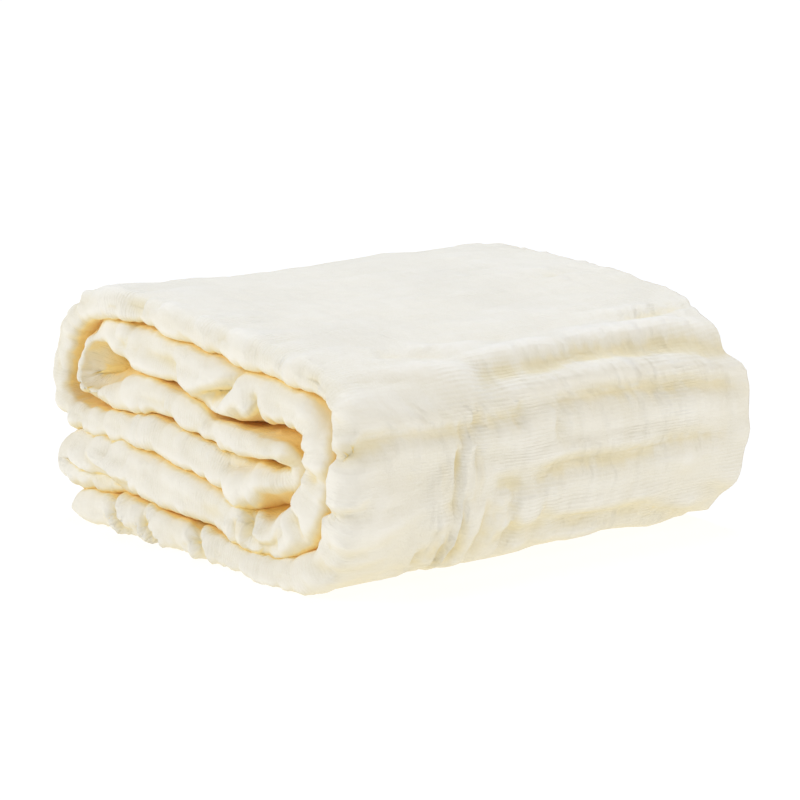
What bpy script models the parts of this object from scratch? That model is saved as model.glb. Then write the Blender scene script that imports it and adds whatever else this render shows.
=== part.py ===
"""Swaddle blanket of layered cotton gauze, folded and rolled into a flat bundle.

The cloth is folded lengthwise to a strip six plies thick, and the strip is folded
back and forth and rolled up, so the bundle is one strip that never meets itself.
The blanket is one solid: the strip's section, swept along the route of its passes.

Frame: metres, +Z up. X runs across the bundle, from the outer turn (-X) to the outer
wall (+X). Y runs along the folds, from the end with the puffy folded edges (-Y) to the
end where the plies lie open (+Y). The origin is at the bottom centre of the box.
"""

from collections import namedtuple

import bpy
import bmesh
import numpy as np

MM = 0.001

# Driving dimensions, in millimetres
STRIP_FRONT = -93.0      # Y of the foremost folded edge
STRIP_FAR = 96.0         # Y of the farthest edge at the open end
STATION_STEP = 11.0      # spacing of the sections along the straight parts of the route
TROUGH_STEP = 3.0        # the same where the troughs lie
TROUGH_STRETCH = (148.0, 224.0)  # where that is, along the route
TURN_CROWDING = 26.0     # how much closer the sections stand in the turns, in millimetres
TROUGH_RUN_OUT = 16.0    # length over which a trough fades beyond its last point
FOLD_NOSE = 6.0          # how far the rounded folded edge reaches along Y
FOLD_FULLNESS = 0.8      # under 1 makes it fuller than half an ellipse
FOLD_POINTS = 6          # points of a section round the folded edge
OPEN_GROOVE = 7.0        # depth of the groove between the two halves of the plies
LEFT_SHARES = (0.2, 0.45, 0.7)  # places of the points across the left face, of 1 in all
RIGHT_POINTS = 8         # points across the right face, which carries the troughs
REST_DEPTH = 0.4         # how far up the bundle's own weight flattens it
END_TAPER = 6.0          # length over which the strip's two ends are rounded off
END_THICKNESS = 0.35     # thickness left at the very end, as a share of the strip's own
CURVE_POINTS = 60        # points of the smooth route for each place in the table
SOFTENING = 61           # how many of them the running mean of a column takes

# Half of the open end's outline, where each half of the plies ends in a rounded lobe:
# place between the strip's middle and its face, and distance back from the edge
LobePoint = namedtuple("LobePoint", "side inset")

OPEN_LOBE = [
    LobePoint(1.0, 4.0),
    LobePoint(0.8, 0.9),
    LobePoint(0.45, 0.0),
    LobePoint(0.12, 2.2),
]

# The route of the strip through the bundle, in millimetres, a row for each place where
# it changes. x and z are the place in the bundle's section. right and left are how far
# the strip reaches to either side of it, seen along the route. front and far are how
# far its edges lie back from the foremost and the farthest edge.
Place = namedtuple("Place", "run x z right left front far")

ROUTE = [
    Place("under", -84.0, 3.6, 3.0, 3.0, 2.0, 7.0),
    Place("under", -80.0, 4.9, 4.6, 4.4, 1.0, 6.0),
    Place("under", -72.0, 5.7, 5.6, 5.4, 0.0, 6.0),
    Place("under", -58.0, 6.1, 6.1, 5.4, 0.5, 5.0),
    Place("under", -44.0, 6.6, 6.6, 5.8, 0.0, 5.0),
    Place("under", -34.0, 6.6, 6.6, 5.8, 1.0, 6.0),
    Place("under", -18.0, 5.7, 5.7, 5.3, 0.0, 7.0),
    Place("under", 0.0, 5.4, 5.4, 5.0, 1.0, 7.0),
    Place("under", 14.0, 4.6, 4.6, 4.1, 1.0, 6.0),
    Place("under", 27.0, 4.2, 4.2, 3.6, 0.5, 5.0),
    Place("under", 40.0, 4.7, 4.7, 3.6, 0.0, 4.0),
    Place("under", 50.0, 6.0, 6.0, 4.2, 0.0, 4.0),
    Place("wall", 59.0, 8.8, 7.9, 4.4, 0.0, 4.0),
    Place("wall", 68.0, 14.5, 8.3, 4.6, 0.0, 3.0),
    Place("wall", 74.5, 22.5, 6.9, 4.8, 0.0, 1.0),
    Place("wall", 78.2, 32.0, 5.6, 4.8, 0.0, 0.0),
    Place("wall", 79.2, 42.0, 5.6, 4.8, 0.0, 0.0),
    Place("wall", 79.8, 51.0, 5.4, 4.6, 0.0, 1.0),
    Place("wall", 79.0, 58.0, 5.4, 4.6, 0.5, 3.0),
    Place("wall", 77.4, 63.6, 5.3, 4.6, 0.5, 10.0),
    Place("wall", 73.4, 68.4, 5.2, 4.6, 0.5, 10.0),
    Place("top", 65.5, 72.3, 5.0, 4.8, 0.5, 11.0),
    Place("top", 54.0, 74.6, 5.0, 4.8, 1.0, 7.0),
    Place("top", 42.0, 76.4, 5.0, 5.0, 1.0, 4.0),
    Place("top", 28.0, 77.4, 5.0, 4.8, 0.5, 2.0),
    Place("top", 12.0, 79.4, 5.0, 4.8, 1.0, 1.0),
    Place("top", -6.0, 81.0, 5.0, 4.8, 0.5, 1.0),
    Place("top", -24.0, 82.9, 4.9, 4.8, 1.0, 1.0),
    Place("top", -42.0, 84.6, 4.8, 4.6, 1.0, 1.0),
    Place("top", -58.0, 84.5, 4.9, 4.6, 0.5, 2.0),
    Place("turn", -71.5, 81.6, 5.2, 4.6, 0.5, 3.0),
    Place("turn", -81.0, 75.2, 5.4, 4.8, 0.0, 4.0),
    Place("turn", -85.8, 67.4, 5.4, 4.8, 0.0, 4.0),
    Place("turn", -88.2, 59.0, 5.8, 4.8, 0.5, 4.0),
    Place("turn", -89.0, 51.5, 6.0, 4.8, 0.0, 5.0),
    Place("turn", -85.6, 44.2, 5.4, 4.0, 0.5, 5.0),
    Place("middle", -76.5, 40.0, 4.4, 3.6, 1.0, 6.0),
    Place("middle", -66.0, 39.1, 3.8, 3.4, 1.0, 6.0),
    Place("middle", -52.0, 40.0, 4.6, 4.4, 1.5, 6.0),
    Place("middle", -38.0, 40.3, 5.2, 5.0, 1.0, 5.0),
    Place("middle", -24.0, 38.9, 6.2, 6.0, 1.5, 5.0),
    Place("middle", -8.0, 37.4, 6.0, 5.8, 1.0, 6.0),
    Place("middle", 6.0, 34.9, 6.8, 6.2, 1.5, 6.0),
    Place("middle", 20.0, 33.2, 7.2, 6.8, 3.0, 5.0),
    Place("middle", 33.0, 34.2, 4.2, 4.8, 8.0, 5.0),
    Place("fold", 43.5, 35.6, 4.4, 3.7, 14.0, 6.0),
    Place("fold", 47.6, 40.4, 4.4, 3.6, 15.0, 6.0),
    Place("fold", 43.5, 45.3, 4.4, 3.5, 9.0, 6.0),
    Place("lower", 33.0, 45.9, 4.4, 3.8, 3.0, 5.0),
    Place("lower", 20.0, 45.7, 3.4, 2.9, 2.0, 5.0),
    Place("lower", 6.0, 46.5, 3.4, 2.9, 2.0, 6.0),
    Place("lower", -8.0, 50.2, 4.6, 4.6, 1.5, 6.0),
    Place("lower", -22.0, 52.2, 5.2, 5.0, 1.5, 5.0),
    Place("lower", -38.0, 53.0, 6.4, 6.2, 1.0, 5.0),
    Place("lower", -52.0, 50.9, 5.2, 4.8, 1.5, 5.0),
    Place("lower", -64.0, 48.3, 4.0, 3.8, 3.0, 6.0),
    Place("inner", -72.6, 49.3, 3.6, 3.4, 5.0, 6.0),
    Place("inner", -77.0, 54.4, 3.6, 3.4, 6.0, 6.0),
    Place("inner", -76.2, 62.0, 3.6, 3.4, 7.0, 6.0),
    Place("inner", -71.4, 69.4, 3.6, 3.4, 6.0, 5.0),
    Place("second", -62.5, 73.0, 4.2, 4.0, 4.0, 5.0),
    Place("second", -53.0, 72.4, 6.6, 6.2, 1.5, 4.0),
    Place("second", -40.0, 69.6, 8.2, 8.0, 1.0, 4.0),
    Place("second", -26.0, 68.9, 7.6, 7.4, 1.5, 4.0),
    Place("second", -12.0, 67.2, 8.2, 7.6, 1.0, 5.0),
    Place("second", 2.0, 64.4, 9.8, 9.4, 0.5, 5.0),
    Place("second", 16.0, 62.6, 10.2, 9.8, 0.5, 5.0),
    Place("second", 30.0, 62.4, 8.2, 8.2, 1.5, 6.0),
    Place("second", 42.0, 62.2, 7.4, 7.4, 1.0, 6.0),
    Place("inner wall", 53.0, 60.6, 7.0, 7.4, 1.0, 6.0),
    Place("inner wall", 61.4, 55.0, 7.6, 9.2, 1.0, 6.0),
    Place("inner wall", 64.0, 46.0, 8.8, 8.6, 1.0, 5.0),
    Place("inner wall", 62.8, 36.6, 9.2, 9.0, 1.5, 5.0),
    Place("inner wall", 58.4, 27.4, 9.0, 8.8, 0.5, 6.0),
    Place("inner wall", 49.4, 19.8, 7.6, 7.4, 0.5, 6.0),
    Place("low", 38.6, 15.7, 5.8, 5.8, 1.0, 6.0),
    Place("low", 27.0, 15.8, 6.2, 6.0, 1.5, 6.0),
    Place("low", 14.0, 17.9, 7.2, 7.0, 1.0, 5.0),
    Place("low", 2.0, 19.9, 7.0, 7.4, 1.0, 5.0),
    Place("low", -9.0, 21.7, 8.0, 8.2, 0.5, 5.0),
    Place("low", -21.0, 22.0, 8.0, 8.2, 1.0, 6.0),
    Place("low", -32.0, 23.4, 8.0, 8.2, 0.5, 6.0),
    Place("low", -43.0, 25.7, 7.8, 7.6, 0.5, 6.0),
    Place("low", -54.0, 27.2, 6.2, 6.4, 1.0, 5.0),
    Place("low", -65.0, 28.2, 5.2, 6.0, 0.5, 5.0),
    Place("low", -76.0, 28.8, 4.8, 5.4, 1.0, 5.0),
    Place("tuck", -85.6, 26.8, 4.6, 4.4, 1.0, 5.0),
    Place("tuck", -88.4, 21.8, 4.4, 3.8, 1.0, 5.0),
    Place("tuck", -83.4, 17.4, 4.0, 3.5, 1.5, 6.0),
    Place("tuck", -74.0, 16.7, 3.6, 4.2, 2.0, 6.0),
    Place("tuck", -65.0, 16.7, 3.2, 4.2, 3.0, 7.0),
    Place("tuck", -56.0, 16.5, 2.4, 2.6, 4.0, 7.0),
    Place("tuck", -49.0, 16.1, 1.6, 1.6, 6.0, 8.0),
]

# The main troughs in the outer wall and its shoulder, in millimetres. Each runs through
# its points, (distance along the route, y), and has a depth and half a width.
Trough = namedtuple("Trough", "points depth width")

TROUGHS = {
    "shoulder": Trough([(209, -40), (212, -18), (213, 14), (212, 54), (206, 84)], 2.4, 4.5),
    "upper wall": Trough([(197, -80), (197, -48), (201, -8), (200, 53), (195, 88)], 1.6, 4.5),
    "lower wall": Trough([(178, -32), (178, -12), (180, 29), (181, 80)], 1.4, 4.5),
    "under the belly": Trough([(156, -46), (160, 0), (157, 60)], 1.6, 5.0),
}

# Where the whole bundle stands higher or lower than its section says, as a share of the
# height: the place of the middle of each swell, and how far it spreads, in millimetres.
Swell = namedtuple("Swell", "x y spread_x spread_y share")

SWELLS = [
    Swell(25.0, 78.0, 45.0, 45.0, 0.030),
    Swell(-60.0, -25.0, 60.0, 45.0, -0.020),
]

CLOTH_COLOUR = (0.93, 0.87, 0.74, 1.0)


def clear_scene():
    for thing in list(bpy.data.objects):
        bpy.data.objects.remove(thing, do_unlink=True)


def natural_spline(knots, values, at):
    """Values of the natural cubic spline through the knots, at the given parameters."""
    count = len(knots)
    gap = np.diff(knots)
    matrix = np.zeros((count, count))
    target = np.zeros(values.shape)
    matrix[0, 0] = matrix[-1, -1] = 1.0
    for i in range(1, count - 1):
        matrix[i, i - 1] = gap[i - 1]
        matrix[i, i] = 2.0 * (gap[i - 1] + gap[i])
        matrix[i, i + 1] = gap[i]
        slope_after = (values[i + 1] - values[i]) / gap[i]
        slope_before = (values[i] - values[i - 1]) / gap[i - 1]
        target[i] = 6.0 * (slope_after - slope_before)
    bend = np.linalg.solve(matrix, target)
    k = np.clip(np.searchsorted(knots, at, side="right") - 1, 0, count - 2)
    h = gap[k][:, None]
    ahead = (at - knots[k])[:, None]
    back = (knots[k + 1] - at)[:, None]
    cubic = (bend[k] * back ** 3 + bend[k + 1] * ahead ** 3) / (6.0 * h)
    line = (values[k] / h - bend[k] * h / 6.0) * back
    line += (values[k + 1] / h - bend[k + 1] * h / 6.0) * ahead
    return cubic + line


class Route:
    """The strip's smooth route: place, direction, thickness and edges at any distance."""

    def __init__(self, places):
        points = np.array([(p.x, p.z) for p in places])
        chords = np.linalg.norm(np.diff(points, axis=0), axis=1)
        knots = np.concatenate([[0.0], np.cumsum(np.sqrt(chords))])
        fine = np.linspace(0.0, knots[-1], CURVE_POINTS * len(places))
        curve = natural_spline(knots, points, fine)
        steps = np.linalg.norm(np.diff(curve, axis=0), axis=1)
        self.distance = np.concatenate([[0.0], np.cumsum(steps)])
        self.length = self.distance[-1]
        self.curve = curve
        self.heading = np.unwrap(np.arctan2(*np.gradient(curve, axis=0).T[::-1]))
        self.bend = np.abs(np.gradient(self.heading, self.distance))
        self.reach = {}
        for name in ("right", "left", "front", "far"):
            column = np.array([getattr(p, name) for p in places])
            self.reach[name] = self.soften(np.interp(fine, knots, column))

    @staticmethod
    def soften(column):
        """A running mean, so that a column has no kinks at the places."""
        weights = np.hanning(SOFTENING + 2)[1:-1]
        padded = np.pad(column, SOFTENING // 2, mode="edge")
        return np.convolve(padded, weights / weights.sum(), mode="valid")

    def at(self, distances):
        """Centre line, unit vector to the right, and the edge columns, at distances."""
        centre = np.stack([np.interp(distances, self.distance, self.curve[:, i]) for i in (0, 1)], axis=1)
        heading = np.interp(distances, self.distance, self.heading)
        right_way = np.stack([np.sin(heading), -np.cos(heading)], axis=1)
        reach = {name: np.interp(distances, self.distance, column) for name, column in self.reach.items()}
        return centre, right_way, reach

    def stations(self, step):
        """Distances of the sections: a step apart on the straight, closer in the turns."""
        density = (1.0 + TURN_CROWDING * self.bend) / step
        start, end = TROUGH_STRETCH
        troughs = (self.distance > start) & (self.distance < end)
        density[troughs] = np.maximum(density[troughs], 1.0 / TROUGH_STEP)
        total = np.concatenate([[0.0], np.cumsum(np.diff(self.distance) * density[1:])])
        count = int(total[-1]) + 2
        return np.interp(np.linspace(0.0, total[-1], count), total, self.distance)


def ring_profile():
    """One section's ring, as (side, edge, inset) triples.

    side runs from 1 on the strip's right face to -1 on its left face. edge is 0 at the
    folded end and 1 at the open end. inset is the distance back from that edge.
    """
    ring = []
    for turn in np.linspace(0.0, np.pi, FOLD_POINTS):
        side = np.sign(np.cos(turn)) * abs(np.cos(turn)) ** FOLD_FULLNESS
        ring.append((side, 0.0, FOLD_NOSE * (1.0 - np.sin(turn) ** FOLD_FULLNESS)))
    for share in LEFT_SHARES:
        ring.append((-1.0, share, 0.0))
    for point in OPEN_LOBE:
        ring.append((-point.side, 1.0, point.inset))
    ring.append((0.0, 1.0, OPEN_GROOVE))
    for point in reversed(OPEN_LOBE):
        ring.append((point.side, 1.0, point.inset))
    for i in range(RIGHT_POINTS, 0, -1):
        ring.append((1.0, i / (RIGHT_POINTS + 1), 0.0))
    return ring


def end_taper(distances, length):
    """1 along the strip, falling to a small value at its two ends, like a round nose."""
    inset = np.minimum(distances, length - distances) / END_TAPER
    inset = np.clip(inset, 0.0, 1.0)
    return END_THICKNESS + (1.0 - END_THICKNESS) * np.sqrt(1.0 - (1.0 - inset) ** 2)


def trough_depth(distance, y):
    """How far the troughs draw the right face in, at one point of it."""
    drawn = 0.0
    for trough in TROUGHS.values():
        along, across = np.array(trough.points).T
        middle = np.interp(y, across, along)
        beyond = max(across[0] - y, y - across[-1], 0.0)
        fade = max(0.0, 1.0 - beyond / TROUGH_RUN_OUT)
        drawn += fade * trough.depth * np.exp(-((distance - middle) / trough.width) ** 2)
    return drawn


def section_points(route, distances):
    """The rings of all the sections, as an array of points: section, ring place, xyz."""
    centre, right_way, reach = route.at(distances)
    taper = end_taper(distances, route.length)
    ring = ring_profile()
    points = np.zeros((len(distances), len(ring), 3))
    for i, distance in enumerate(distances):
        front = STRIP_FRONT + reach["front"][i]
        far = STRIP_FAR - reach["far"][i]
        for j, (side, edge, inset) in enumerate(ring):
            if edge == 0.0:
                y = front + inset
            elif edge == 1.0:
                y = far - inset
            else:
                y = front + (far - front) * edge
            offset = side * taper[i] * (reach["right"][i] if side > 0 else reach["left"][i])
            if side == 1.0:
                offset -= trough_depth(distance, y)
            x, z = centre[i] + right_way[i] * offset
            points[i, j] = (x, y, z)
    return points


def settle(points):
    """Raise or lower the bundle where it swells or has sunk."""
    x, y, z = np.moveaxis(points, -1, 0)
    share = np.ones(x.shape)
    for swell in SWELLS:
        away = ((x - swell.x) / swell.spread_x) ** 2 + ((y - swell.y) / swell.spread_y) ** 2
        share += swell.share * np.exp(-away)
    return np.stack([x, y, z * share], axis=-1)


def loft(points):
    """A closed mesh through the rings, with a fan of faces on each end."""
    mesh = bmesh.new()
    rings = [[mesh.verts.new(point * MM) for point in ring] for ring in points]
    count = len(rings[0])
    for ring, after in zip(rings, rings[1:]):
        for j in range(count):
            k = (j + 1) % count
            mesh.faces.new((ring[j], ring[k], after[k], after[j]))
    for ring in (rings[0], rings[-1]):
        hub = mesh.verts.new(sum((vert.co for vert in ring), ring[0].co * 0.0) / count)
        for j in range(count):
            mesh.faces.new((ring[j], ring[(j + 1) % count], hub))
    bmesh.ops.recalc_face_normals(mesh, faces=mesh.faces)
    return mesh


def level_underside(mesh):
    """Rest the bundle: what comes close to the ground lies flat on it."""
    for vert in mesh.verts:
        if vert.co.z < REST_DEPTH * MM:
            vert.co.z = 0.0


def centre_on_origin(mesh):
    """Move the mesh so that the origin is at the bottom centre of its box."""
    low = np.min([vert.co for vert in mesh.verts], axis=0)
    high = np.max([vert.co for vert in mesh.verts], axis=0)
    middle = (low + high) / 2.0
    for vert in mesh.verts:
        vert.co.x -= middle[0]
        vert.co.y -= middle[1]
        vert.co.z -= low[2]


def cloth_material():
    material = bpy.data.materials.new("cream gauze")
    material.use_nodes = True
    shader = material.node_tree.nodes["Principled BSDF"]
    shader.inputs["Base Color"].default_value = CLOTH_COLOUR
    shader.inputs["Roughness"].default_value = 0.95
    shader.inputs["Metallic"].default_value = 0.0
    return material


def build_blanket(collection):
    route = Route(ROUTE)
    distances = route.stations(STATION_STEP)
    mesh = loft(settle(section_points(route, distances)))
    level_underside(mesh)
    centre_on_origin(mesh)
    data = bpy.data.meshes.new("blanket")
    mesh.to_mesh(data)
    mesh.free()
    data.materials.append(cloth_material())
    data.shade_smooth()
    blanket = bpy.data.objects.new("blanket", data)
    collection.objects.link(blanket)
    return blanket


def main():
    clear_scene()
    collection = bpy.data.collections.new("swaddle blanket")
    bpy.context.scene.collection.children.link(collection)
    build_blanket(collection)


main()
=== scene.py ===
"""The looks of a swaddle blanket of layered cotton gauze, folded and rolled to a bundle.

The blanket is one thin sheet. Across its width it is folded to a strip six plies thick:
three folded edges lie inside one another at the visible end (-Y), and two folds and two
hems lie at the open end (+Y). The strip then follows its route through the bundle, and
creases, puffs and crinkles are pressed into it. Lengths are in millimetres here, and
become metres when the mesh is made.
"""

import math
from collections import namedtuple

import bpy
import numpy as np
from mathutils import Matrix, Vector
from mathutils.bvhtree import BVHTree


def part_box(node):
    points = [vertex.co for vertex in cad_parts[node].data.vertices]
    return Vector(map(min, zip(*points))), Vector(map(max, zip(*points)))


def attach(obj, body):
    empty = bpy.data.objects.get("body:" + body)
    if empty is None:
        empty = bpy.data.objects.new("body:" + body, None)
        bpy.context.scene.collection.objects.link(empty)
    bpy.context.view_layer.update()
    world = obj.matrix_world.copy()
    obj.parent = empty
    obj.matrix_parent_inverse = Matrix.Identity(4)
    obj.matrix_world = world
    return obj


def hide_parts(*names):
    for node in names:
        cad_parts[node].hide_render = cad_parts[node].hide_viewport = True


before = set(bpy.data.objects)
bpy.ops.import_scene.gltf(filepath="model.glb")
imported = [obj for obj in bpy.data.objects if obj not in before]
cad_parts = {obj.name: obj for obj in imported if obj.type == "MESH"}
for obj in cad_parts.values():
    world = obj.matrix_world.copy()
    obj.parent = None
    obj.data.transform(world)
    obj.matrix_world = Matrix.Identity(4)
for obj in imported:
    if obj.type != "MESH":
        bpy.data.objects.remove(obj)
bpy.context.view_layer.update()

MM = 0.001

# The view of the photograph: where the camera stands, in metres, and how it looks.
CAMERA_PLACE = (0.7243, -0.5930, 0.2287)
CAMERA_AZIMUTH = math.radians(50.6)
CAMERA_DOWN = math.radians(11.1)
CAMERA_LENS = 117.0
CAMERA_SENSOR = 36.0

# The cloth and the strip that it is folded to, in millimetres
CLOTH = 0.9  # thickness of one ply
PLIES = 6
PLY_ROOM = 6.7  # the room that they need, in thicknesses of one
HEM_WIDTH = 9.0
HEM_BULK = 1.5  # its thickness, in plies
HEM_STEPS = (0.0, 0.8, 4.5, 8.3, 9.5)  # where a hem's points lie, from the cloth's edge
HEM_RUN = HEM_STEPS[-1] + 1.5  # where the first point past it lies
HEM_SLOPE = (-0.7, 0.3)  # where it thins out, from its width
STRIP_FRONT = -93.0  # Y of the foremost folded edge, in the route's frame
STRIP_FAR = 96.0  # Y of the farthest edge at the open end
END_RUN = 6.0  # length over which the strip's two ends thin out
END_THICKNESS = 0.6  # share of the thickness that is left at the very end
REST_DEPTH = 0.4  # how far up its own weight flattens the bundle
EDGE_DEPTH = 0.48  # depth of the folded edges along Y, as a share of the thickness
EDGE_DEPTH_LIMITS = (2.5, 8.0)
EDGE_FULLNESS = 1.05  # over 1 makes the folded edges sharper than half an ellipse
EDGE_LEAN = 1.8  # how late an edge's base goes over to the left face's
NESTED_BACK = 4.0  # how far the inner folded edges keep back
NESTED_FADE = (-3.0, 12.0)  # where that sets in, from the strip's ends
WALL_FAR_BACK = 3.0  # how far the wall's far edge keeps back from the solid's
PLY_SHARE = 0.85  # the most that a ply fills of the pitch between plies
NEXT_LEVEL = 0.6  # levels of the inner plies, between the faces at 1 and -1
MIDDLE_LEVEL = 0.2

# How the mesh is spread over it: rows follow the strip, columns cross it
FINE_STEPS = 400  # in which the spacing of the columns is summed up
BOX_STEPS = 2000  # in which the route's whole breadth is looked for
CURVE_POINTS = 60  # of the smooth route, for each place in the table
SOFTENING = 61  # how many of them a running mean takes
ROWS = 484
TURN_CROWDING = 7.0  # how much closer the rows stand in the turns, in millimetres
EDGE_COLUMNS = 15  # round the outermost folded edge
LEFT_COLUMNS = 8
LEFT_CROWDING = 1.6  # over 1 sets them closer at the folded edge
INNER_CROWDING = 1.2  # the same on the inner plies
RIGHT_COLUMNS = 41  # without the hem's

# Spacing of the columns on the right face, as (distance from its folded edge, spacing)
RIGHT_SPACING = (
    (0, 2.4), (22, 3.8), (41, 3.8), (45, 2.2), (60, 2.2),
    (68, 3), (96, 3.4), (106, 9), (185, 10),
)

# How far the relief may go, in millimetres
OPEN_PUFF = 3.0  # outward on the bundle's outside and at the folded edge
INNER_PUFF = 2.0  # outward between two passes at the most
LEAST_RELIEF = 0.15  # room that the relief always has, either way
TOUCHING = 0.25  # gap at which two passes count as touching
SAME_PASS = 26.0  # rows nearer than this are of the same pass
RIGHT_SPARE = 0.75  # inward, as a share of what the plies leave free
LEFT_SPARE = 0.25
EDGE_DENT = 5.0  # inward at the folded edge
EDGE_REACH = 6.0  # how far over the cloth from its crest that goes
NEAR_EDGE = 13.0  # how far from it the crinkles of the folded edge go
END_RELIEF = 0.3  # share of it that is left at the strip's two ends
END_FADE = 12.0  # distance over which the rest of it fades

# Where the cloth puffs out until two passes meet: gaps up to the width closed close, and
# from the width open they stay. It sets in and ends between the other four, which are
# distances over the cloth from the folded edge's crest.
Closing = namedtuple("Closing", "closed open start full ending end")

EDGE_GAPS = Closing(2.2, 4.6, 0.0, 6.0, 18.0, 40.0)
HOLLOWS = Closing(12.0, 18.0, 7.0, 24.0, 42.0, 62.0)
GAP_LEFT = -0.15  # gap that is left there, below 0 where the passes press together

# Stretches of the strip, each with the distances at which it sets in and ends
WALL_STARTS = (130.0, 160.0)
WALL_ENDS = (215.0, 235.0)
QUILTED_STARTS = (120.0, 145.0)
QUILTED_ENDS = (218.0, 240.0)
HALF_QUILTED_STARTS = (335.0, 365.0)
HALF_QUILTED = 0.7  # how much quilting there is from there on
HOLLOWS_STOP = 4.0  # how soon hollows are left alone where the face comes outside

# The tucked turn, which is smooth
TUCK_MIDDLE = 1004.0  # distance along the strip
TUCK_SPREAD = 16.0  # how far along the strip it reaches
TUCK_REACH = 14.0  # how far over the cloth from the folded edge's crest
TUCK_SMOOTH = 0.85  # share of the crinkles that it lacks
TUCK_LIT = 0.8  # share of the shade that it lacks

# The form of the creases, and how the material marks them
PUFF_AWAY = 1.9  # distance of a crease's puffed lips, in widths
PUFF_SHARE = 0.45  # their height, as a share of its depth
CREASE_END = 0.3  # share of the depth at its two ends
CREASE_UNEVEN = 0.5  # how much the depth varies
MARKED_DEPTH = 3.0  # depth from which a crease is marked fully
SHARP_WIDTH = 2.0  # width up to which it is
NO_CREASE = 50.0  # distance where no crease is near
GATHERED = (2.0, 16.0)  # distances at which the cloth is gathered fully, and no more
EDGE_GATHERED = 0.3  # how much it is at the folded edge by itself
EDGE_GATHERED_REACH = 10.0
EDGE_PLAIN = 0.7  # share of the gathers that the folded edge lacks
EDGE_PLAIN_REACH = 16.0

# How the light that reaches the cloth is judged, for the shade that is painted into its colour
LIGHT_WAYS = 40  # directions that it is looked for in
LIGHT_LIFT = 0.2  # how far off the cloth they start
LIGHT_FROM_ABOVE = 0.45  # how much stronger it is from above, and weaker from below
LIGHT_SLOPE = 2.0  # how soon, as a direction turns from the level
LIGHT_REACH = 0.15  # how far away cloth keeps it off, in metres
END_SHADE = 0.18  # painted shade of the inner plies at the open end, up to 1
SHADE_RUN = 24.0  # length into the bundle over which it would grow by 1

# How the two sides of the cloth share the height of the map for baking
BAKE_SHARE = 0.49
BAKE_SHIFT = 0.505

# The stretches of the strip where the right face is on the bundle's outside
OPEN_STRETCHES = ((0.0, 438.0), (958.0, 1004.0))
OPEN_RUN = 8.0  # length over which each sets in and ends

# The route of the strip through the bundle, in millimetres, a row for each place where
# it changes. x and z are the place in the bundle's section. right and left are how far
# the strip reaches to either side of it, seen along the route. front and far are how
# far its edges lie back from the foremost and the farthest edge.
Place = namedtuple("Place", "x z right left front far")

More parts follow.
